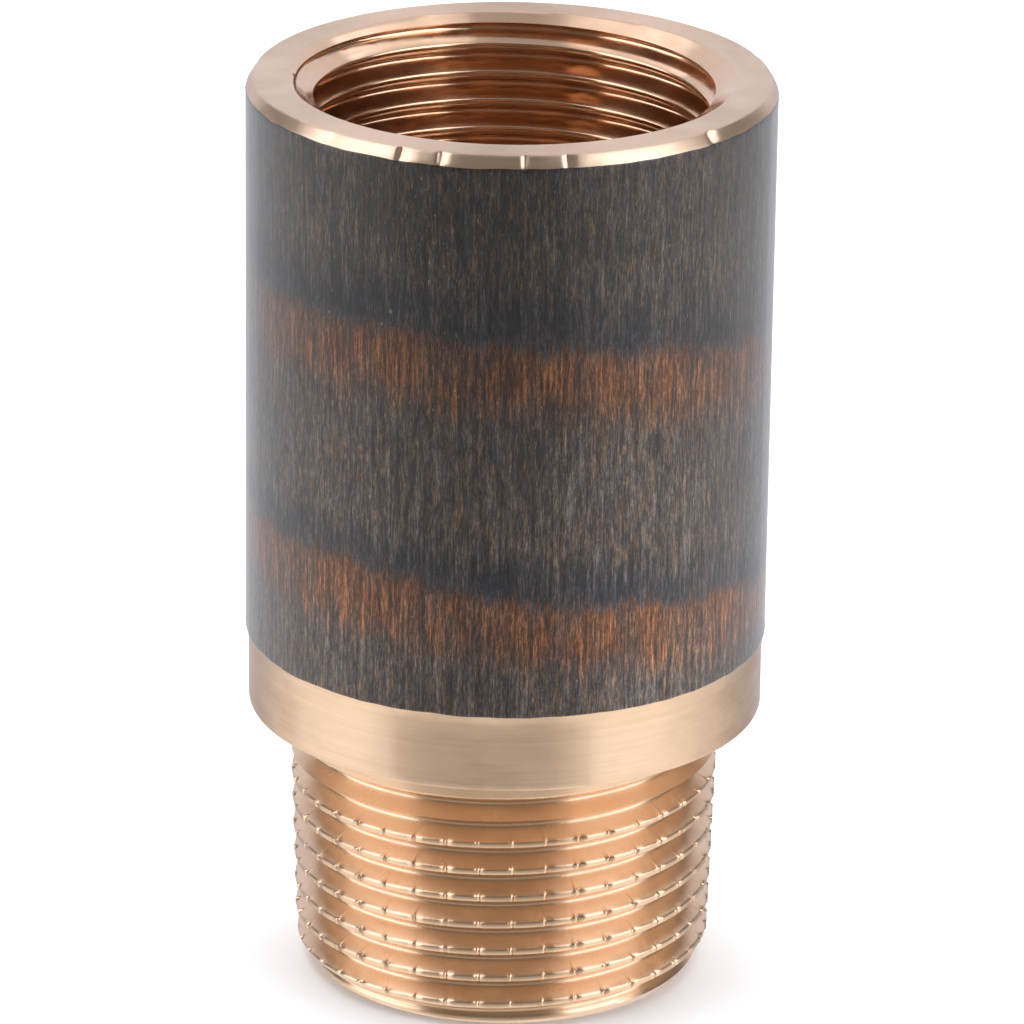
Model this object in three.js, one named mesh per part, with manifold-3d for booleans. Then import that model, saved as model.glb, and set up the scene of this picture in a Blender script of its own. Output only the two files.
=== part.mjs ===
// Extension nipple for 3/4 inch pipe: one turned gunmetal body, with a parallel female thread in the
// socket at its top and a tapered male thread at its foot. Both are right-hand Whitworth pipe threads.
//
// Millimetres. The axis is Z: z = 0 is the male end face, and +Z points to the socket.

import * as THREE from 'three';
import { mergeVertices } from 'three/addons/utils/BufferGeometryUtils.js';
import Module from 'manifold-3d';

// ---------------------------------------------------------------- driving dimensions

// Thread form, shared by both ends
const THREADS_PER_INCH = 14;
const PITCH = 25.4 / THREADS_PER_INCH;
const FLANK_SLOPE = Math.tan(THREE.MathUtils.degToRad(27.5)); // axial run per unit of depth
const THREAD_DEPTH = 0.6403 * PITCH;
const ROOT_WIDTH = PITCH / 6;
const MAJOR_RADIUS = 26.441 / 2;

// Tapered male thread
const MALE_LENGTH = 17.3; // end face to shoulder
const MALE_TAPER = 1 / 32; // gain of radius per unit of length
const GAUGE_LENGTH = 9.5; // end face to the plane where the thread has its major radius
const MALE_START_AZIMUTH = 116; // degrees, where the groove's centre line crosses the end face
const MALE_GROOVE_TOP = 15.8; // height at which the groove has run out
const END_FACE_RADIUS = 11.87; // outer edge of the end face
const END_CHAMFER_HEIGHT = 1.5;

// Collar and barrel
const TOTAL_LENGTH = 57.6;
const COLLAR_RADIUS = 16.0;
const COLLAR_EDGE = 0.15; // bevel over the shoulder
const BARREL_RADIUS = 16.2;
const BARREL_FOOT = 22.2; // height of the barrel's lower edge
const BARREL_SLOPE = 1.1; // height of the slope from the collar out to the barrel
const RIM_CHAMFER_WIDTH = 0.45;
const RIM_CHAMFER_HEIGHT = 0.7;

// Socket and waterway
const MOUTH_RADIUS = 13.65; // inner edge of the rim, at the top of the mouth's chamfer
const MOUTH_CHAMFER_ANGLE = THREE.MathUtils.degToRad(60); // between the chamfer and the axis
const SOCKET_DEPTH = 19.5; // parallel hole, before the drill's cone
const FEMALE_THREAD_DEPTH = 17.0; // depth at which the groove has run out
const FEMALE_START_AZIMUTH = 265; // degrees, where the groove's centre line crosses the rim
const DRILL_POINT_ANGLE = THREE.MathUtils.degToRad(118 / 2); // between the cone's wall and the axis
const WATERWAY_RADIUS = 9.75;
const WATERWAY_CHAMFER = 0.5;

// How finely the round shapes are faceted
const FACETS = 40; // per turn, on the turned faces and the helices alike

// How the grooves are cut
const FLANK_OVERCUT = 0.12; // how far a cutter's flanks run on past the crests
const OVERCUT = 0.4; // how far a groove's cutter stands out of the crests
const LEAD_IN = 0.8; // how far beyond the end of the body a groove's centre line starts
const RUN_OUT_TURN = 0.25; // share of a turn over which a groove fades out

// ---------------------------------------------------------------- derived dimensions

const MINOR_RADIUS = MAJOR_RADIUS - THREAD_DEPTH;
const SOCKET_FLOOR = TOTAL_LENGTH - SOCKET_DEPTH;
const CHAMFER_FOOT = TOTAL_LENGTH - (MOUTH_RADIUS - MINOR_RADIUS) / Math.tan(MOUTH_CHAMFER_ANGLE);
const CONE_FOOT = SOCKET_FLOOR - (MINOR_RADIUS - WATERWAY_RADIUS) / Math.tan(DRILL_POINT_ANGLE);

// ---------------------------------------------------------------- the turned blank

// Radius of the male thread's crests at a height.
function maleCrestRadius(height) {
  return MAJOR_RADIUS + MALE_TAPER * (height - GAUGE_LENGTH);
}

// The body before threading. The profile runs up the outside, over the rim and down the waterway.
function blankGeometry() {
  const profile = [
    [WATERWAY_RADIUS + WATERWAY_CHAMFER, 0],
    [END_FACE_RADIUS, 0],
    [maleCrestRadius(END_CHAMFER_HEIGHT), END_CHAMFER_HEIGHT],
    [maleCrestRadius(MALE_LENGTH), MALE_LENGTH],
    [COLLAR_RADIUS - COLLAR_EDGE, MALE_LENGTH],
    [COLLAR_RADIUS, MALE_LENGTH + COLLAR_EDGE],
    [COLLAR_RADIUS, BARREL_FOOT - BARREL_SLOPE],
    [BARREL_RADIUS, BARREL_FOOT],
    [BARREL_RADIUS, TOTAL_LENGTH - RIM_CHAMFER_HEIGHT],
    [BARREL_RADIUS - RIM_CHAMFER_WIDTH, TOTAL_LENGTH],
    [MOUTH_RADIUS, TOTAL_LENGTH],
    [MINOR_RADIUS, CHAMFER_FOOT],
    [MINOR_RADIUS, SOCKET_FLOOR],
    [WATERWAY_RADIUS, CONE_FOOT],
    [WATERWAY_RADIUS, WATERWAY_CHAMFER],
    [WATERWAY_RADIUS + WATERWAY_CHAMFER, 0],
  ];
  const points = profile.map(([radius, height]) => new THREE.Vector2(radius, height));
  const geometry = new THREE.LatheGeometry(points, FACETS);
  geometry.rotateX(Math.PI / 2);
  return geometry;
}

// ---------------------------------------------------------------- the thread grooves

// Section of a groove's cutter as [distance from the root, offset along the axis].
function grooveSection() {
  const halfRoot = ROOT_WIDTH / 2;
  const flankEnd = THREAD_DEPTH + FLANK_OVERCUT;
  const halfMouth = halfRoot + flankEnd * FLANK_SLOPE;
  return [
    [0, -halfRoot],
    [flankEnd, -halfMouth],
    [THREAD_DEPTH + OVERCUT, -halfMouth],
    [THREAD_DEPTH + OVERCUT, halfMouth],
    [flankEnd, halfMouth],
    [0, halfRoot],
  ];
}

// A closed helical cutter, wound from height `low` to height `high`. Its centre line crosses height
// `start` at `azimuth` degrees. `outward` is 1 when the groove opens away from the axis and -1 when it
// opens towards it. `liftAt` gives how far the cutter is drawn out of the metal at a height.
function grooveGeometry({ low, high, start, azimuth, outward, rootRadiusAt, liftAt }) {
  const step = (2 * Math.PI) / FACETS;
  const rise = PITCH / FACETS;
  const origin = THREE.MathUtils.degToRad(azimuth) / step;
  const first = Math.ceil(origin + (low - start) / rise);
  const last = Math.floor(origin + (high - start) / rise);
  const section = grooveSection();
  const ring = outward > 0 ? [...section].reverse() : section;
  const positions = [];
  for (let k = first; k <= last; k += 1) {
    const centre = start + (k - origin) * rise;
    const root = rootRadiusAt(centre) + outward * liftAt(centre);
    for (const [distance, offset] of ring) {
      const radius = root + outward * distance;
      positions.push(radius * Math.cos(k * step), radius * Math.sin(k * step), centre + offset);
    }
  }
  const geometry = new THREE.BufferGeometry();
  geometry.setAttribute('position', new THREE.Float32BufferAttribute(positions, 3));
  geometry.setIndex(sweepFaces(last - first + 1, ring.length));
  return geometry;
}

// Triangles of a closed sweep: `rings` rings of `size` points each, and a flat cap at both ends.
function sweepFaces(rings, size) {
  const faces = [];
  for (let i = 0; i < rings - 1; i += 1) {
    for (let j = 0; j < size; j += 1) {
      const a = i * size + j;
      const b = i * size + ((j + 1) % size);
      faces.push(a, b, b + size, a, b + size, a + size);
    }
  }
  const top = (rings - 1) * size;
  for (let j = 1; j < size - 1; j += 1) {
    faces.push(0, j + 1, j);
    faces.push(top, top + j, top + j + 1);
  }
  return faces;
}

// How far a fading groove is lifted: nothing before `from`, and clear of the metal at `to`.
function runOut(height, from, to) {
  const share = THREE.MathUtils.clamp((height - from) / (to - from), 0, 1);
  return share * (THREAD_DEPTH + OVERCUT / 2);
}

function maleGroove() {
  const fadeStart = MALE_GROOVE_TOP - RUN_OUT_TURN * PITCH;
  return grooveGeometry({
    low: -LEAD_IN,
    high: MALE_GROOVE_TOP,
    start: 0,
    azimuth: MALE_START_AZIMUTH,
    outward: 1,
    rootRadiusAt: (height) => maleCrestRadius(height) - THREAD_DEPTH,
    liftAt: (height) => runOut(height, fadeStart, MALE_GROOVE_TOP),
  });
}

function femaleGroove() {
  const bottom = TOTAL_LENGTH - FEMALE_THREAD_DEPTH;
  const fadeStart = bottom + RUN_OUT_TURN * PITCH;
  return grooveGeometry({
    low: bottom,
    high: TOTAL_LENGTH + LEAD_IN,
    start: TOTAL_LENGTH,
    azimuth: FEMALE_START_AZIMUTH,
    outward: -1,
    rootRadiusAt: () => MAJOR_RADIUS,
    liftAt: (height) => runOut(height, fadeStart, bottom),
  });
}

// ---------------------------------------------------------------- booleans

const wasm = await Module();
wasm.setup();

function toSolid(geometry) {
  const bare = geometry.clone();
  bare.deleteAttribute('normal');
  bare.deleteAttribute('uv');
  const merged = mergeVertices(bare);
  const mesh = new wasm.Mesh({
    numProp: 3,
    vertProperties: new Float32Array(merged.attributes.position.array),
    triVerts: new Uint32Array(merged.index.array),
  });
  return new wasm.Manifold(mesh);
}

function toGeometry(solid) {
  const mesh = solid.getMesh();
  const geometry = new THREE.BufferGeometry();
  geometry.setAttribute('position', new THREE.BufferAttribute(mesh.vertProperties, 3));
  geometry.setIndex(new THREE.BufferAttribute(mesh.triVerts, 1));
  geometry.computeVertexNormals();
  return geometry;
}

// ---------------------------------------------------------------- the part

const gunmetal = new THREE.MeshStandardMaterial({
  color: 0xb98a63,
  roughness: 0.35,
  metalness: 1,
  flatShading: true,
});

const threaded = toSolid(blankGeometry())
  .subtract(toSolid(maleGroove()))
  .subtract(toSolid(femaleGroove()));

const nippleBody = new THREE.Mesh(toGeometry(threaded), gunmetal);
nippleBody.name = 'nipple_body';

const nipple = new THREE.Group();
nipple.add(nippleBody);

export default nipple;
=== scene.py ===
"""Looks for the threaded pipe nipple: one closed skin with both threads in its geometry."""

import math

import bpy
import numpy as np
from mathutils import Matrix, Vector


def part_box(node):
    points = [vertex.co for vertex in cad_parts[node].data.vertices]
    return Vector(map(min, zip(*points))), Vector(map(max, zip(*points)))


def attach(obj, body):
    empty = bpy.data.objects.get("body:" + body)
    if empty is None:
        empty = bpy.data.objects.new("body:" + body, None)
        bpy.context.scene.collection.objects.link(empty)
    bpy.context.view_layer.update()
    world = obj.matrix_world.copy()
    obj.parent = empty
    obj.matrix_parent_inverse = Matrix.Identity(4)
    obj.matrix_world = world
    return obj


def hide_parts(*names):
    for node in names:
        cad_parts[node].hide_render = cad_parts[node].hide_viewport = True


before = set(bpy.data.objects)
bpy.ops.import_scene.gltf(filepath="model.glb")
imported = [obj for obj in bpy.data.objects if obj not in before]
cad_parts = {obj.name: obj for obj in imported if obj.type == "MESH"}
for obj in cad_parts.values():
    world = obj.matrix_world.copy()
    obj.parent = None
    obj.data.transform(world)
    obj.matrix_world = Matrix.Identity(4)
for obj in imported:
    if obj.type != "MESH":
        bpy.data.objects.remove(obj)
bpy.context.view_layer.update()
cad_low, cad_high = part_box("nipple_body")

# ------------------------------------------------------------ driving dimensions, millimetres

MM = 0.001
TURN = 2 * math.pi
TOTAL = (cad_high.z - cad_low.z) / MM
BARREL = (cad_high.x - cad_low.x) / (2 * MM)

# Whitworth thread form, shared by both ends
PITCH = 25.4 / 14
SLOPE = math.tan(math.radians(27.5))  # axial run of a flank per unit of depth
DEPTH = 0.6403 * PITCH
ROOT_ROUND = 0.1373 * PITCH  # radius of the rounded root
ROOT_LIFT = 0.9605 * PITCH / 6  # from the flanks' sharp corner up to the root
HALF_CREST = PITCH / 12
MAJOR = 26.441 / 2
MINOR = MAJOR - DEPTH
RUN_OUT_LIFT = 1.6 * DEPTH  # how far a groove is drawn out of the metal where it has run out

# Male thread
MALE_LENGTH = 17.3
MALE_TAPER = 1 / 32  # gain of radius per unit of length
GAUGE_LENGTH = 9.5  # end face to the plane where the thread has its major radius
MALE_START = 116.0  # degrees, where the groove's centre line crosses the end face
MALE_TURNS = range(-1, 13)
END_FACE = 11.87
END_CHAMFER = 1.5
NECK_START = 13.5  # height from which the groove's turns lie closer together
NECK_PITCH_SHARE = 0.8
MALE_FADE = (15.45, 15.95)  # heights between which the groove runs out
CREST_BULGE = 0.03  # how much higher a crest is in its middle than at its edges

# Collar and barrel
COLLAR = 16.0
BARREL_FOOT = 22.2
BARREL_SLOPE = 1.1
BARREL_ROWS = 12
BARREL_UNEVENNESS = 0.012
FOOT_UNEVENNESS = 0.004
SKIN_EDGE_WOBBLE = 0.05
RIM_CHAMFER_WIDTH = 0.45
RIM_CHAMFER_FOOT = TOTAL - 0.7

# Socket and waterway
MOUTH = 13.65
MOUTH_CHAMFER = math.radians(60)  # between the chamfer and the axis
SOCKET_DEPTH = 19.5
FEMALE_FADE = (16.5, 17.0)  # depths between which the groove runs out
FEMALE_START = 265.0  # degrees, where the groove's centre line crosses the rim
FEMALE_TURNS = range(-2, 14)
DRILL_POINT = math.radians(59)
WATERWAY = 9.75
WATERWAY_CHAMFER = 0.5

# Marks that the threading die left across the crests: a cut with a burr beside it. Angles in degrees.
NOTCHES = 40
NOTCH_START = -87.7
NOTCHED_TURNS = 12
NOTCHED_BELOW = 13.4  # height up to which the crests are marked
CUT_DEPTH = 0.1
CUT_MIDDLE = 0.75
CUT_HALF_WIDTH = 0.4
CUT_REACH = 0.3  # how far under the crest a cut goes
CUT_FADE = 0.2
CUT_CHANCE, BURR_CHANCE = 1, 3  # which of a notch's random numbers sets which
BURR_WIDTH = 0.45
BURR_FALL = 12.0  # how steeply a burr drops where it ends
BURR_STAND = 0.03  # how far it stands over the crest
BURR_OVERHANG = 0.06  # how far it reaches past the crest's edge, at least
BURR_EXTRA = 0.1

# Edges that turn by more than this stay sharp
SHARP_ANGLE = math.radians(75)

# What the faces are made of
SKIN, TURNED, THREAD, BORE = range(4)

rng = np.random.default_rng(4)

# ------------------------------------------------------------ columns

CELL = 360 / NOTCHES
CELL_OFFSETS = (0.0, 0.4, CUT_MIDDLE, 1.1, 3.2, 5.3, 7.4, 8.2, 8.6)
CELL_STARTS = [NOTCH_START + CELL * cell for cell in range(NOTCHES)]
FULL = np.radians([start + offset for start in CELL_STARTS for offset in CELL_OFFSETS])  # outside
HALF = FULL[::2]  # inside


def wave_sum(azimuth, seed, lowest, highest, falloff):
    """A smooth closed wobble round the axis, about -1 to 1."""
    source = np.random.default_rng(seed)
    total = np.zeros_like(azimuth)
    weight = 0.0
    for k in range(lowest, highest + 1):
        size = k ** -falloff
        total += size * np.cos(k * azimuth + source.uniform(0, TURN))
        weight += size * size
    return total / math.sqrt(2 * weight) / 1.2


# ------------------------------------------------------------ mesh building


class Shell:
    """Collects the vertices and faces of one closed skin, ring by ring."""

    def __init__(self):
        self.points = []
        self.faces = []
        self.kinds = []

    def add(self, azimuth, radius, height):
        """Adds points and gives their numbers."""
        azimuth, radius, height = np.broadcast_arrays(azimuth, radius, height)
        first = len(self.points)
        for a, r, z in zip(azimuth, radius, height):
            self.points.append((r * math.cos(a), r * math.sin(a), z))
        return np.arange(first, len(self.points))

    def face(self, corners, kind):
        """Adds a face, leaving out corners that repeat."""
        kept = [c for k, c in enumerate(corners) if c != corners[k - 1]]
        if len(kept) >= 3:
            self.faces.append(kept)
            self.kinds.append(kind)

    def bridge(self, ring, other, kind):
        """Joins two rings with the same number of points."""
        size = len(ring)
        for i in range(size):
            j = (i + 1) % size
            self.face((ring[i], ring[j], other[j], other[i]), kind)

    def lathe(self, ring, azimuth, profile):
        """Carries a ring on along a profile of (radius, height, kind), and gives the last ring."""
        for radius, height, kind in profile:
            following = self.add(azimuth, radius, height)
            self.bridge(ring, following, kind)
            ring = following
        return ring

    def halve(self, ring, other, kind):
        """Joins a ring to one with half as many points."""
        for i in range(len(other)):
            a, b, c = ring[2 * i], ring[2 * i + 1], ring[(2 * i + 2) % len(ring)]
            d, e = other[i], other[(i + 1) % len(other)]
            self.face((a, b, d), kind)
            self.face((b, e, d), kind)
            self.face((b, c, e), kind)

    def double(self, ring, other, kind):
        """Joins a ring to one with twice as many points."""
        for i in range(len(ring)):
            a, b, c = other[2 * i], other[2 * i + 1], other[(2 * i + 2) % len(other)]
            d, e = ring[i], ring[(i + 1) % len(ring)]
            self.face((b, a, d), kind)
            self.face((b, d, e), kind)
            self.face((c, b, e), kind)

    def band(self, azimuth, ring, other, along, shift, surface):
        """Helical rows between two rings.

        along[i, m] is how far along the surface's profile row m of column i is. After a whole turn
        row m meets row m + shift of the first column.
        """
        snapped = snap_to_edge(along, surface.edge(azimuth))
        snapped.append(snapped[0] - shift)
        index = self.rows(azimuth, ring, other, along, surface)
        columns, rows = index.shape
        first = np.full(rows, other[0] if shift > 0 else ring[0])
        if shift > 0:
            first[: rows - shift] = index[0][shift:]
        else:
            first[-shift:] = index[0][: rows + shift]
        right = np.vstack([index[1:], first])
        for i in range(columns):
            for m in range(rows - 1):
                a, b, c, d = index[i, m], right[i, m], right[i, m + 1], index[i, m + 1]
                if a == d and b == c:
                    continue
                # where the edge steps to the next row it runs along the diagonal
                if (snapped[i], snapped[i + 1]) == (m, m + 1):
                    self.face((a, b, c), surface.kind)
                    self.face((a, c, d), surface.kind)
                elif (snapped[i], snapped[i + 1]) == (m + 1, m):
                    self.face((a, b, d), surface.kind)
                    self.face((b, c, d), surface.kind)
                else:
                    self.face((a, b, c, d), surface.kind)

    def rows(self, azimuth, ring, other, along, surface):
        """Adds a band's points. A row that lies past either ring has that ring's own point."""
        index = np.empty(along.shape, int)
        for i, reach in enumerate(along):
            before = reach <= surface.low + surface.snap
            inside = ~before & (reach < surface.high - surface.snap)
            index[i] = np.where(before, ring[i], other[i])
            turned = np.full(np.count_nonzero(inside), azimuth[i])
            radius, height = surface.at(turned, reach[inside])
            index[i][inside] = self.add(turned, radius, height)
        return index


def snap_to_edge(along, edge):
    """Moves each column's nearest row onto the surface's edge, and gives those rows."""
    nearest = np.argmin(np.abs(along - edge[:, None]), axis=1)
    along[np.arange(len(along)), nearest] = edge
    return nearest.tolist()


# ------------------------------------------------------------ thread form


def groove_profile(offset):
    """Height of the groove's wall over its root at an offset from its centre line."""
    offset = np.abs(offset)
    round_edge = ROOT_ROUND * math.cos(math.atan(SLOPE))
    round_wall = ROOT_ROUND - np.sqrt(np.maximum(ROOT_ROUND**2 - np.minimum(offset, round_edge) ** 2, 0))
    straight = offset / SLOPE - ROOT_LIFT
    return np.where(offset < round_edge, round_wall, straight)


def run_out(centre, fade):
    """How far the groove is drawn out of the metal where its centre line is between the two fade marks."""
    return np.clip((centre - fade[0]) / (fade[1] - fade[0]), 0, 1) * RUN_OUT_LIFT


def row_shares(away, back):
    """Where the rows lie in a pitch, from offsets away from one groove and then back from the next."""
    return [u / PITCH for u in away] + [1 - u / PITCH for u in back]


# ------------------------------------------------------------ male thread


def male_centre(turned):
    """Height of the groove's centre line after an angle: steady, then closer together at the neck."""
    steady = PITCH * turned / TURN
    past = np.maximum(steady - NECK_START, 0)
    return steady - past * (1 - NECK_PITCH_SHARE)


def male_groove(azimuth, height):
    """Offset to the nearest groove's centre line, and that centre line's height."""
    turned = azimuth - math.radians(MALE_START)
    best = np.full(height.shape, np.inf)
    centre = np.zeros(height.shape)
    for n in MALE_TURNS:
        here = male_centre(turned + n * TURN)
        offset = height - here
        nearer = np.abs(offset) < np.abs(best)
        best = np.where(nearer, offset, best)
        centre = np.where(nearer, here, centre)
    return best, centre


def crest_radius(height):
    return MAJOR + MALE_TAPER * (height - GAUGE_LENGTH)


notch_random = rng.uniform(0, 1, (NOTCHES, NOTCHED_TURNS, 4))


def notch_marks(azimuth, turn):
    """Signed angle to the nearest notch in degrees, and that notch's random numbers."""
    degrees = np.degrees(azimuth) - NOTCH_START
    nearest = np.round(degrees / CELL).astype(int)
    return degrees - nearest * CELL, notch_random[nearest % NOTCHES, turn]


class MaleSurface:
    low, high, snap = 0.0, MALE_LENGTH - 0.16, 0.03
    kind = THREAD

    def edge(self, azimuth):
        """Height of the end chamfer's upper edge."""
        return np.full_like(azimuth, END_CHAMFER)

    def at(self, azimuth, height):
        offset, centre = male_groove(azimuth, height)
        crest = crest_radius(height)
        wall = crest - DEPTH + groove_profile(offset) + run_out(centre, MALE_FADE)
        from_middle = (PITCH / 2 - np.abs(offset)) / HALF_CREST
        rounded = crest - CREST_BULGE * np.clip(from_middle, 0, 1) ** 2
        radius = np.where(centre > MALE_FADE[1], crest, np.minimum(rounded, wall))
        radius = self.notched(azimuth, offset, centre, crest, radius)
        cone = END_FACE + height * (crest_radius(END_CHAMFER) - END_FACE) / END_CHAMFER
        return np.minimum(radius, cone), height

    def notched(self, azimuth, offset, centre, crest, radius):
        """The die's marks: a cut across the flat crest, and a burr beside it that stands over the flank."""
        half_mouth = PITCH / 2 - HALF_CREST
        crest_height = centre + np.where(offset > 0, PITCH / 2, -PITCH / 2)
        turn = np.clip(np.round(crest_height / PITCH).astype(int), 0, NOTCHED_TURNS - 1)
        gap, chance = notch_marks(azimuth, turn)
        allowed = (crest_height < NOTCHED_BELOW) & (crest_height > END_CHAMFER * 0.8)
        across = np.clip(1 - np.abs(gap - CUT_MIDDLE) / CUT_HALF_WIDTH, 0, 1)
        cut = CUT_DEPTH * (0.3 + chance[:, CUT_CHANCE]) * across
        on_crest = np.clip((radius - (crest - CUT_REACH)) / CUT_FADE, 0, 1)
        beyond = half_mouth - np.abs(offset)
        width = np.exp(-((gap / BURR_WIDTH) ** 2))
        overhang = (BURR_OVERHANG + BURR_EXTRA * chance[:, BURR_CHANCE]) * width
        burr = crest + BURR_STAND * width - BURR_FALL * np.maximum(beyond - overhang, 0)
        # a burr stands on the flat crest and leans over the flank above it, not over the one below
        leaning = (offset < 0) | (beyond < 0)
        with_burr = np.where(leaning & (width > 0.1), np.maximum(radius, burr), radius)
        return np.where(allowed, with_burr - cut * on_crest, radius)


MALE_AWAY = (0, 0.08, 0.16, 0.225, 0.45, 0.735, 0.775, PITCH / 2)
MALE_BACK = (0.775, 0.735, 0.66, 0.61, 0.54, 0.225, 0.16, 0.08)  # finer, for the burrs
MALE_ROWS = row_shares(MALE_AWAY, MALE_BACK)


def male_rows(azimuth):
    """Heights of the rows, from the turn below the end face to the turn above the shoulder."""
    turned = azimuth - math.radians(MALE_START)
    columns = []
    for n in MALE_TURNS:
        here = male_centre(turned + n * TURN)
        gap = male_centre(turned + (n + 1) * TURN) - here
        columns += [here + gap * share for share in MALE_ROWS]
    return np.stack(columns, axis=1)


# ------------------------------------------------------------ socket thread


class FemaleSurface:
    low, high, snap = 0.0, SOCKET_DEPTH, 0.03
    kind = BORE

    def edge(self, azimuth):
        """Depth where the chamfer ends: at the lip over the first groove, or else at the hole's wall."""
        centre = PITCH * ((math.radians(FEMALE_START) - azimuth) / TURN % 1)
        widening = math.tan(MOUTH_CHAMFER)
        lip = (MOUTH - MAJOR - ROOT_LIFT + centre / SLOPE) / (1 / SLOPE + widening)
        return np.minimum(lip, (MOUTH - MINOR) / widening)

    def mouth(self, depth):
        """Radius of the chamfer at a depth."""
        return MOUTH - depth * math.tan(MOUTH_CHAMFER)

    def wall(self, azimuth, depth):
        turned = math.radians(FEMALE_START) - azimuth
        nearest = np.round(depth / PITCH - turned / TURN)
        centre = PITCH * (turned / TURN + nearest)
        groove = MAJOR - groove_profile(depth - centre) - run_out(centre, FEMALE_FADE)
        groove = np.where(centre > FEMALE_FADE[1], MINOR, groove)
        return np.maximum(groove, MINOR)

    def at(self, azimuth, depth):
        return np.maximum(self.wall(azimuth, depth), self.mouth(depth)), TOTAL - depth


FEMALE_AWAY = (0, 0.11, 0.225, 0.48, 0.735, 0.775, PITCH / 2)
FEMALE_BACK = (0.775, 0.735, 0.48, 0.225, 0.11)
FEMALE_ROWS = row_shares(FEMALE_AWAY, FEMALE_BACK)


def female_rows(azimuth):
    """Depths of the rows below the rim, from a turn above it to a turn below the hole's floor."""
    turned = math.radians(FEMALE_START) - azimuth
    columns = []
    for n in FEMALE_TURNS:
        here = PITCH * (turned / TURN + n)
        columns += [here + PITCH * share for share in FEMALE_ROWS]
    return np.stack(columns, axis=1)


# ------------------------------------------------------------ the skin

# Nicks in the rim's outer edge: angle and width in degrees, depth in millimetres. The five listed are on
# the side that the photograph shows.
NICKS = [
    (-114.1, 0.6, 0.2),
    (-105.1, 0.5, 0.22),
    (-87.1, 0.5, 0.15),
    (-78.1, 0.45, 0.14),
    (-42.1, 0.6, 0.25),
]
NICKS += [(rng.uniform(-40, 240), rng.uniform(0.9, 2.2), rng.uniform(0.03, 0.1)) for _ in range(16)]


def nicked(azimuth):
    """How much the rim's outer edge is knocked in."""
    loss = np.zeros_like(azimuth)
    for place, width, depth in NICKS:
        gap = (np.degrees(azimuth) - place + 180) % 360 - 180
        loss += depth * np.exp(-((gap / width) ** 2))
    return loss


def male_end(shell):
    """From the waterway's edge out over the end face, and up the thread. Gives its first and last ring."""
    edge = WATERWAY + WATERWAY_CHAMFER
    start = shell.add(HALF, edge, 0.0)
    ring = shell.lathe(start, HALF, [(edge + 0.1, 0.0, TURNED)])
    wide = shell.add(FULL, edge + 0.7, 0.0)
    shell.double(ring, wide, TURNED)
    surface = MaleSurface()
    foot, _ = surface.at(FULL, np.zeros_like(FULL))
    ring = shell.lathe(wide, FULL, [(foot - 0.12, 0.0, TURNED), (foot, 0.0, TURNED)])
    top = shell.add(FULL, crest_radius(surface.high), surface.high)
    shell.band(FULL, ring, top, male_rows(FULL), len(MALE_ROWS), surface)
    return start, top


def collar(shell, ring):
    """A small fillet under the shoulder, the collar, and the slope out to the barrel."""
    neck = crest_radius(MaleSurface.high)
    slope_foot = BARREL_FOOT - BARREL_SLOPE
    profile = [
        (neck + 0.05, MALE_LENGTH - 0.05),
        (neck + 0.17, MALE_LENGTH),
        (neck + 0.4, MALE_LENGTH),
        (COLLAR - 0.3, MALE_LENGTH),
        (COLLAR - 0.12, MALE_LENGTH),
        (COLLAR - 0.04, MALE_LENGTH + 0.05),
        (COLLAR, MALE_LENGTH + 0.15),
        (COLLAR, MALE_LENGTH + 0.4),
        (COLLAR, slope_foot - 0.35),
        (COLLAR + 0.01, slope_foot),
        (COLLAR + 0.05, BARREL_FOOT - 0.6),
        (BARREL - 0.09, BARREL_FOOT - 0.14),
    ]
    return shell.lathe(ring, FULL, [(radius, height, TURNED) for radius, height in profile])


def barrel(shell, ring):
    """Drawn bar with shallow lengthwise unevenness, and a skin with a ragged lower edge."""
    low_wobble = wave_sum(FULL, seed=11, lowest=3, highest=70, falloff=0.4)
    high_wobble = wave_sum(FULL, seed=12, lowest=3, highest=70, falloff=0.4)
    edge_wobble = SKIN_EDGE_WOBBLE * wave_sum(FULL, seed=13, lowest=2, highest=60, falloff=0.3)

    def wobble(height):
        share = (height - BARREL_FOOT) / (RIM_CHAMFER_FOOT - BARREL_FOOT)
        return (1 - share) * low_wobble + share * high_wobble

    # the bar stays inside the CAD's box even where it bulges the most
    profile = []
    for height, kind in ((BARREL_FOOT, TURNED), (BARREL_FOOT + 0.12, SKIN)):
        radius = BARREL - FOOT_UNEVENNESS * (1 + wobble(height))
        profile.append((radius, height + edge_wobble, kind))
    for height in np.linspace(BARREL_FOOT + 0.6, RIM_CHAMFER_FOOT - 0.5, BARREL_ROWS):
        radius = BARREL - BARREL_UNEVENNESS * (2 + wobble(height))
        profile.append((radius, height, SKIN))
    return shell.lathe(ring, FULL, profile)


def rim(shell, ring):
    """The rim's nicked chamfer and its flat face."""
    loss = nicked(FULL)
    edge_wobble = SKIN_EDGE_WOBBLE * wave_sum(FULL, seed=14, lowest=2, highest=60, falloff=0.3)
    edge = BARREL - RIM_CHAMFER_WIDTH
    ring = shell.lathe(ring, FULL, [
        (BARREL - 0.02, RIM_CHAMFER_FOOT - 0.12 + edge_wobble, SKIN),
        (BARREL - 0.05 - 0.3 * loss, RIM_CHAMFER_FOOT + edge_wobble, SKIN),
        (BARREL - 0.12 - 0.9 * loss, RIM_CHAMFER_FOOT + 0.13, TURNED),
        (edge + 0.05 - 0.9 * loss, TOTAL - 0.1 - 0.4 * loss, TURNED),
        (edge - 0.02 - 0.5 * loss, TOTAL - 0.025 - 0.3 * loss, TURNED),
        (edge - 0.12, TOTAL, TURNED),
        (edge - 0.35, TOTAL, TURNED),
    ])
    inner = shell.add(HALF, MOUTH + 0.8, TOTAL)
    shell.halve(ring, inner, TURNED)
    return shell.lathe(inner, HALF, [(MOUTH + 0.1, TOTAL, TURNED)])


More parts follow.
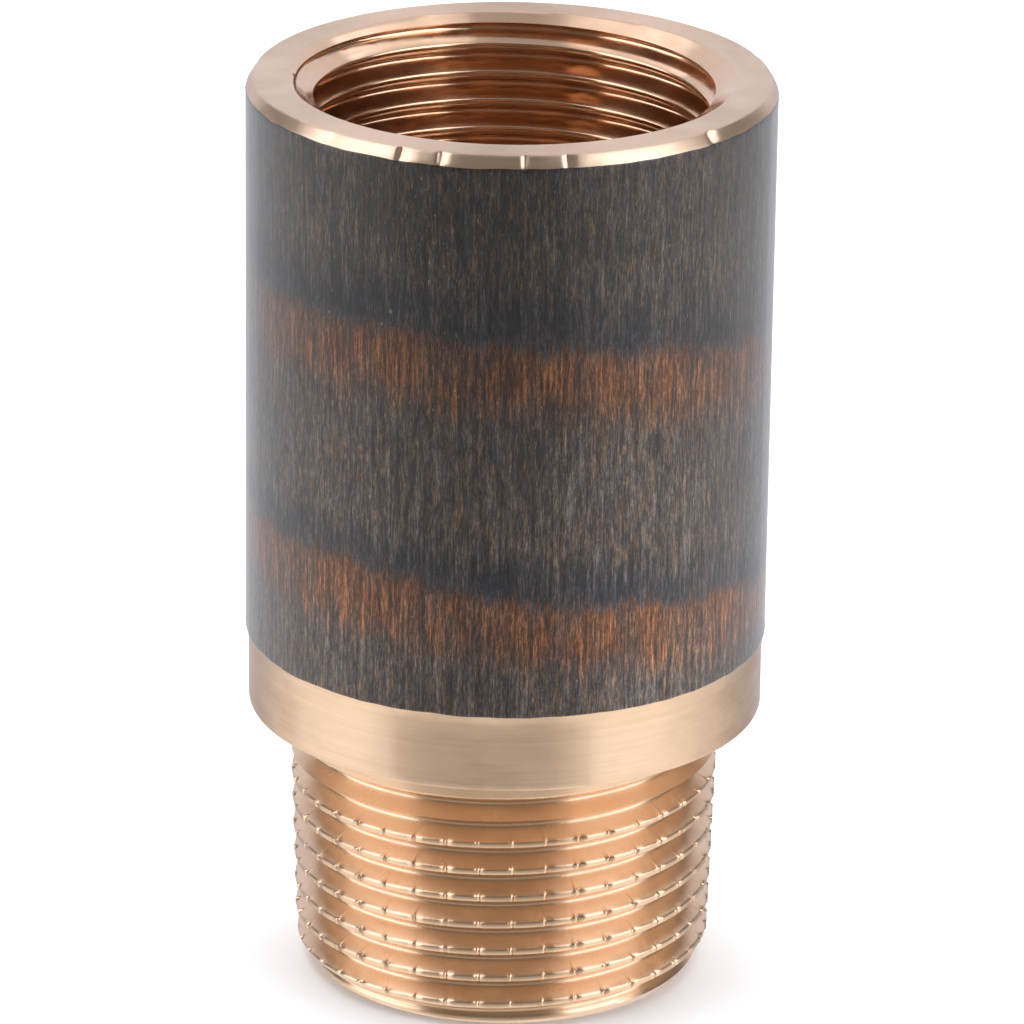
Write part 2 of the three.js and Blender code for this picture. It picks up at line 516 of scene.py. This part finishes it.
def socket(shell, ring):
    """The mouth's chamfer and the thread, down to the hole's floor."""
    surface = FemaleSurface()
    mouth, _ = surface.at(HALF, np.zeros_like(HALF))
    ring = shell.lathe(ring, HALF, [(mouth, TOTAL, TURNED)])
    floor = shell.add(HALF, MINOR, TOTAL - SOCKET_DEPTH)
    shell.band(HALF, ring, floor, female_rows(HALF), -len(FEMALE_ROWS), surface)
    return floor


def waterway(shell, ring):
    """The drill's cone, and the hole down to the chamfer at the male end."""
    floor = TOTAL - SOCKET_DEPTH
    fall = 1 / math.tan(DRILL_POINT)
    cone_foot = floor - (MINOR - WATERWAY) * fall
    profile = [
        (MINOR - 0.15, floor - 0.15 * fall),
        (WATERWAY + 0.15, cone_foot + 0.15 * fall),
        (WATERWAY, cone_foot - 0.05),
        (WATERWAY, cone_foot - 0.3),
    ]
    profile += [(WATERWAY, height) for height in np.linspace(cone_foot - 4, 4, 8)]
    profile += [
        (WATERWAY, WATERWAY_CHAMFER + 0.3),
        (WATERWAY, WATERWAY_CHAMFER + 0.04),
        (WATERWAY + 0.05, WATERWAY_CHAMFER - 0.06),
        (WATERWAY + WATERWAY_CHAMFER - 0.06, 0.06),
    ]
    return shell.lathe(ring, HALF, [(radius, height, BORE) for radius, height in profile])


def build_shell():
    shell = Shell()
    start, ring = male_end(shell)
    for section in (collar, barrel, rim, socket, waterway):
        ring = section(shell, ring)
    shell.bridge(ring, start, BORE)
    return shell


shell = build_shell()
mesh = bpy.data.meshes.new("nipple_visual")
mesh.from_pydata((np.array(shell.points) * MM).tolist(), [], shell.faces)
mesh.polygons.foreach_set("use_smooth", np.ones(len(mesh.polygons), bool))
mesh.polygons.foreach_set("material_index", np.array(shell.kinds, np.int32))
mesh.update()
mesh.set_sharp_from_angle(angle=SHARP_ANGLE)
nipple = bpy.data.objects.new("nipple_visual", mesh)
bpy.context.scene.collection.objects.link(nipple)
weighted = nipple.modifiers.new("weighted_normals", "WEIGHTED_NORMAL")
weighted.mode = "FACE_AREA"
weighted.weight = 50
weighted.keep_sharp = True

# ------------------------------------------------------------ materials


class Nodes:
    """Shorthands for building a node tree."""

    def __init__(self, tree):
        self.tree = tree
        tree.nodes.clear()

    def add(self, kind, inputs=None, **settings):
        node = self.tree.nodes.new(kind)
        for name, value in settings.items():
            setattr(node, name, value)
        for name, value in (inputs or {}).items():
            if isinstance(value, bpy.types.NodeSocket):
                self.tree.links.new(value, node.inputs[name])
            else:
                node.inputs[name].default_value = value
        return node

    def math(self, operation, *values):
        return self.add("ShaderNodeMath", dict(enumerate(values)), operation=operation).outputs[0]

    def times(self, a, b):
        return self.math("MULTIPLY", a, b)

    def total(self, first, *others):
        value = first
        for other in others:
            value = self.math("ADD", value, other)
        return value

    def spread(self, value, low, high, to_low=0.0, to_high=1.0, smooth=False):
        inputs = {"Value": value, "From Min": low, "From Max": high, "To Min": to_low, "To Max": to_high}
        kind = "SMOOTHSTEP" if smooth else "LINEAR"
        return self.add("ShaderNodeMapRange", inputs, interpolation_type=kind).outputs[0]

    def hump(self, value, low, full_from, full_to, high):
        """0 outside low and high, and 1 between the two full marks."""
        up = self.spread(value, low, full_from, smooth=True)
        down = self.spread(value, full_to, high, 1.0, 0.0, smooth=True)
        return self.times(up, down)

    def scaled(self, vector, scale):
        inputs = {0: vector, 1: scale}
        return self.add("ShaderNodeVectorMath", inputs, operation="MULTIPLY").outputs[0]

    def noise(self, place, density, detail, roughness):
        """Noise with about so many grains per millimetre along x, y and z."""
        inputs = {"Vector": self.scaled(place, density), "Scale": 1.0}
        inputs.update({"Detail": detail, "Roughness": roughness})
        return self.add("ShaderNodeTexNoise", inputs).outputs[0]

    def mix(self, factor, a, b):
        inputs = {0: factor, 6: a, 7: b}
        return self.add("ShaderNodeMix", inputs, data_type="RGBA").outputs[2]

    def blend(self, factor, a, b):
        """The same for single values."""
        return self.add("ShaderNodeMix", {0: factor, 2: a, 3: b}).outputs[0]

    def parts(self, vector):
        return self.add("ShaderNodeSeparateXYZ", {0: vector}).outputs

    def position(self):
        """Place on the object in millimetres."""
        coordinates = self.add("ShaderNodeTexCoord").outputs["Object"]
        return self.scaled(coordinates, (1 / MM,) * 3)

    def bump(self, height, depth):
        """Normals for a relief, of which one unit of height is so many millimetres deep."""
        inputs = {"Height": height, "Strength": 0.6, "Distance": depth * MM}
        return self.add("ShaderNodeBump", inputs).outputs[0]

    def surface(self, settings):
        shader = self.add("ShaderNodeBsdfPrincipled", settings)
        output = self.add("ShaderNodeOutputMaterial")
        self.tree.links.new(shader.outputs[0], output.inputs[0])


def colour(red, green, blue):
    return (red, green, blue, 1.0)


def new_material(name):
    material = bpy.data.materials.new(name)
    material.use_nodes = True
    return material, Nodes(material.node_tree)


def skin_material():
    """Dark oxide on drawn bar: fine lengthwise streaks, and two tarnish bands, blue-black over rust."""
    material, nodes = new_material("oxide_skin")
    place = nodes.position()
    x, y, z = nodes.parts(place)
    hair = nodes.noise(place, (13.0, 13.0, 1.6), 3.0, 0.7)
    streak = nodes.noise(place, (4.5, 4.5, 0.3), 3.0, 0.6)
    patch = nodes.noise(place, (1.5, 1.5, 0.35), 4.0, 0.65)
    broad = nodes.noise(place, (0.22, 0.22, 0.12), 3.0, 0.55)
    hue = nodes.noise(place, (3.1, 3.1, 0.8), 3.0, 0.6)
    clump = nodes.noise(place, (0.5, 0.5, 0.3), 2.0, 0.5)
    grit = nodes.noise(place, (18.0, 18.0, 7.0), 2.0, 0.7)
    speck = nodes.noise(place, (6.0, 6.0, 2.2), 2.0, 0.6)

    def above_line(centre, lean_x, lean_y):
        """Height over a tilted, ragged line round the barrel. It rises by the two leans along x and y."""
        line = nodes.total(nodes.times(x, lean_x / BARREL), nodes.times(y, lean_y / BARREL), centre)
        wobble = nodes.spread(broad, 0.0, 1.0, -1.3, 1.3)
        fray = nodes.spread(streak, 0.2, 0.8, -1.3, 1.3)
        return nodes.total(nodes.math("SUBTRACT", z, line), wobble, fray)

    # the ground: patches of two greys, the darker ones browned the most
    paler = nodes.spread(patch, 0.35, 0.65)
    grey = nodes.mix(paler, colour(0.034, 0.031, 0.036), colour(0.09, 0.078, 0.075))
    browned = nodes.times(nodes.spread(hue, 0.44, 0.58), nodes.spread(patch, 0.62, 0.4, 0.25, 0.9))
    ground = nodes.mix(browned, grey, colour(0.125, 0.083, 0.055))

    # the bands, each blue-black over a line and rusty under it
    upper = above_line(44.3, -1.6, -1.7)
    lower = above_line(29.2, -2.0, -0.8)
    upper_rust = nodes.hump(upper, -5.4, -2.6, -0.5, 0.3)
    lower_rust = nodes.hump(lower, -5.0, -2.4, -0.4, 0.3)
    rust = nodes.math("MAXIMUM", upper_rust, lower_rust)
    upper_dark = nodes.hump(upper, -0.6, 0.5, 1.0, 5.0)
    lower_dark = nodes.hump(lower, -0.6, 0.4, 0.8, 3.6)
    dark = nodes.math("MAXIMUM", upper_dark, lower_dark)
    redder = nodes.spread(streak, 0.38, 0.62)
    rusty = nodes.mix(redder, colour(0.11, 0.043, 0.023), colour(0.185, 0.073, 0.028))
    broken = nodes.spread(nodes.total(patch, clump), 0.78, 1.1, 0.3, 1.0)
    banded = nodes.mix(nodes.times(rust, broken), ground, rusty)
    thinned = nodes.spread(clump, 0.35, 0.65, 0.95, 0.5)
    banded = nodes.mix(nodes.times(dark, thinned), banded, colour(0.02, 0.023, 0.034))

    # light hairlines on a dark ground, lighter towards the foot, and painted light towards +x, the side the
    # right softbox lights
    relief = nodes.total(hair, nodes.total(nodes.times(streak, 0.7), nodes.times(grit, 0.4)))
    crest = nodes.math("POWER", nodes.spread(relief, 0.84, 1.3), 2.0)
    lighter_down = nodes.spread(z, 55.0, 25.0, 0.55, 1.25)
    # painted light: the +x side, which the right softbox lights, is lightened in the base colour
    painted_light_across = nodes.spread(x, 0.0, 0.5 * BARREL, 1.0, 1.3)
    shade = nodes.times(nodes.spread(crest, 0.0, 1.0, 0.4, 3.0), nodes.times(lighter_down, painted_light_across))
    tone = nodes.add("ShaderNodeVectorMath", {0: banded, "Scale": shade}, operation="SCALE").outputs[0]

    bare = nodes.times(nodes.spread(speck, 0.68, 0.75), nodes.spread(broad, 0.4, 0.6, 0.15, 0.75))
    nodes.surface({
        "Base Color": nodes.mix(bare, tone, colour(0.36, 0.27, 0.19)),
        "Metallic": 1.0,
        "Roughness": nodes.spread(hair, 0.3, 0.7, 0.5, 0.36),
        "Coat Weight": 1.0,
        "Coat Roughness": 0.4,
        "Sheen Weight": 0.35,
        "Sheen Roughness": 0.4,
        "Normal": nodes.bump(relief, 0.03),
    })
    return material


def metal_material(name, tint, bright, roughness, lines, anisotropy):
    """Cut gunmetal with fine tool lines round the axis. lines is (lines per mm, bump height in mm)."""
    material, nodes = new_material(name)
    place = nodes.position()
    density, height = lines
    turning = nodes.noise(place, (0.05, 0.05, density), 3.0, 0.65)
    cloud = nodes.noise(place, (0.35, 0.35, 0.8), 3.0, 0.6)
    shade = nodes.total(nodes.times(turning, 0.5), nodes.times(cloud, 0.5))
    nodes.surface({
        "Base Color": nodes.mix(nodes.spread(shade, 0.35, 0.65), tint, bright),
        "Metallic": 1.0,
        "Roughness": nodes.spread(cloud, 0.3, 0.7, roughness + 0.05, roughness - 0.05),
        "Anisotropic": anisotropy,
        "Anisotropic Rotation": 0.25,
        "Normal": nodes.bump(turning, height),
        "Tangent": nodes.add("ShaderNodeTangent", direction_type="RADIAL", axis="Z").outputs[0],
    })
    return material


# in the order of SKIN, TURNED, THREAD and BORE
mesh.materials.append(skin_material())
mesh.materials.append(metal_material(
    "turned_gunmetal", colour(0.80, 0.585, 0.41), colour(0.92, 0.68, 0.49), 0.38, (6.0, 0.008), 0.85))
mesh.materials.append(metal_material(
    "threaded_gunmetal", colour(0.85, 0.59, 0.39), colour(0.91, 0.66, 0.46), 0.3, (3.0, 0.002), 0.88))
mesh.materials.append(metal_material(
    "bored_gunmetal", colour(0.84, 0.55, 0.35), colour(0.90, 0.61, 0.41), 0.18, (3.0, 0.001), 0.75))

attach(nipple, "root")
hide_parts("nipple_body")

# ------------------------------------------------------------ floor, light and camera, metres

FLOOR_REACH = 3.0
SPOT_RADIUS = (WATERWAY + 0.2) * MM
SPOT_HEIGHT = 0.01 * MM
SPOT_CORNERS = 48

EYE = Vector((0, -0.4063, 0.1836))
EYE_PITCH = math.radians(20.79)  # downwards
EYE_YAW = 0.0008  # radians
EYE_ROLL = 0.0131  # radians


def flat_piece(name, corners, material):
    """One flat face as an object of its own."""
    sheet = bpy.data.meshes.new(name)
    sheet.from_pydata(corners, [], [range(len(corners))])
    sheet.materials.append(material)
    piece = bpy.data.objects.new(name, sheet)
    bpy.context.scene.collection.objects.link(piece)
    return piece


def stage_floor():
    material, nodes = new_material("pale_floor")
    nodes.surface({"Base Color": colour(0.9, 0.9, 0.9), "Roughness": 0.9})
    far = FLOOR_REACH
    floor = flat_piece("floor", [(-far, -far, 0), (far, -far, 0), (far, far, 0), (-far, far, 0)], material)
    floor.visible_glossy = False
    # the floor at the waterway's lower end, which the metal inside does reflect
    around = [TURN * k / SPOT_CORNERS for k in range(SPOT_CORNERS)]
    corners = [(SPOT_RADIUS * math.cos(a), SPOT_RADIUS * math.sin(a), SPOT_HEIGHT) for a in around]
    bore_floor = flat_piece("floor_in_bore", corners, material)


def studio_world():
    """A studio with a tall softbox on each side and a white wall behind the object.

    Azimuths are in degrees from the camera's side, positive to the right. z is the sine of the elevation.
    """
    world = bpy.data.worlds.new("studio")
    world.use_nodes = True
    bpy.context.scene.world = world
    nodes = Nodes(world.node_tree)
    direction = nodes.add("ShaderNodeTexCoord").outputs["Generated"]
    x, y, z = nodes.parts(direction)
    azimuth = nodes.math("DEGREES", nodes.math("ARCTAN2", x, nodes.times(y, -1.0)))
    turned = nodes.math("ABSOLUTE", azimuth)

    def window(value, low, high, soft):
        """1 between low and high, and 0 outside, with edges twice the softness wide."""
        return nodes.hump(value, low - soft, low + soft, high - soft, high + soft)

    # above the horizon: softboxes, a white wall behind, a dimmer ceiling and two lit upper corners
    boxes = nodes.math("MAXIMUM", window(azimuth, -103.0, -53.0, 3.5), window(azimuth, 36.0, 88.0, 3.5))
    wall = nodes.spread(turned, 134.0, 142.0, smooth=True)
    around = nodes.total(0.12, nodes.times(boxes, 2.1), nodes.times(wall, 0.7))
    ceiling = nodes.spread(z, 0.88, 0.94, smooth=True)
    corners = nodes.times(window(turned, 116.0, 150.0, 6.0), window(z, 0.62, 0.967, 0.012))
    above = nodes.total(nodes.blend(ceiling, around, 0.44), nodes.times(corners, 0.75))
    # below it: what the table, the softboxes' lower halves and the wall give back
    left = nodes.times(window(azimuth, -132.0, -52.0, 14.0), 0.38)
    right = nodes.times(window(azimuth, 36.0, 122.0, 14.0), 0.4)
    back = nodes.times(nodes.spread(turned, 125.0, 175.0, smooth=True), 0.25)
    table = nodes.times(nodes.spread(z, -0.45, -0.75, smooth=True), 0.4)
    below = nodes.total(0.47, left, right, back, table)
    light = nodes.blend(nodes.spread(z, -0.04, 0.04), below, above)
    # warm in front, cool behind and in the softboxes
    cooling = nodes.spread(turned, 110.0, 150.0)
    tint = nodes.mix(cooling, colour(1.04, 1.0, 0.95), colour(0.94, 0.97, 1.12))
    in_box = nodes.times(boxes, nodes.spread(z, 0.0, 0.05))
    tint = nodes.mix(in_box, tint, colour(0.96, 1.0, 1.1))
    # plain white behind the object
    seen = nodes.add("ShaderNodeLightPath").outputs["Is Camera Ray"]
    shown = nodes.mix(seen, tint, colour(1, 1, 1))
    strength = nodes.math("MAXIMUM", light, seen)
    background = nodes.add("ShaderNodeBackground", {"Color": shown, "Strength": strength})
    output = nodes.add("ShaderNodeOutputWorld")
    nodes.tree.links.new(background.outputs[0], output.inputs[0])


def area_light(name, place, target, size, power):
    """A square light at a place, facing a target."""
    data = bpy.data.lights.new(name, "AREA")
    data.size = size
    data.energy = power
    light = bpy.data.objects.new(name, data)
    light.location = place
    light.rotation_mode = "QUATERNION"
    light.rotation_quaternion = (Vector(target) - Vector(place)).to_track_quat("-Z", "Y")
    light.visible_glossy = False
    bpy.context.scene.collection.objects.link(light)


def camera():
    """A long lens, a little above the object and looking down on it."""
    data = bpy.data.cameras.new("camera")
    data.lens = 246.4
    data.sensor_width = 36.0
    data.clip_start = 0.01
    data.clip_end = 20.0
    eye = bpy.data.objects.new("camera", data)
    bpy.context.scene.collection.objects.link(eye)
    level = math.cos(EYE_PITCH)
    forward = Vector((math.sin(EYE_YAW) * level, math.cos(EYE_YAW) * level, -math.sin(EYE_PITCH)))
    side = forward.cross(Vector((0, 0, 1))).normalized()
    up = side.cross(forward)
    across = side * math.cos(EYE_ROLL) + up * math.sin(EYE_ROLL)
    upward = up * math.cos(EYE_ROLL) - side * math.sin(EYE_ROLL)
    turn = Matrix((across, upward, -forward)).transposed()
    eye.matrix_world = Matrix.Translation(EYE) @ turn.to_4x4()
    bpy.context.scene.camera = eye


stage_floor()
studio_world()
area_light("top_light", (0, 0.2, 1.0), (0, 0, 0), 1.2, 14.0)
camera()
bpy.context.scene.view_settings.view_transform = "Standard"
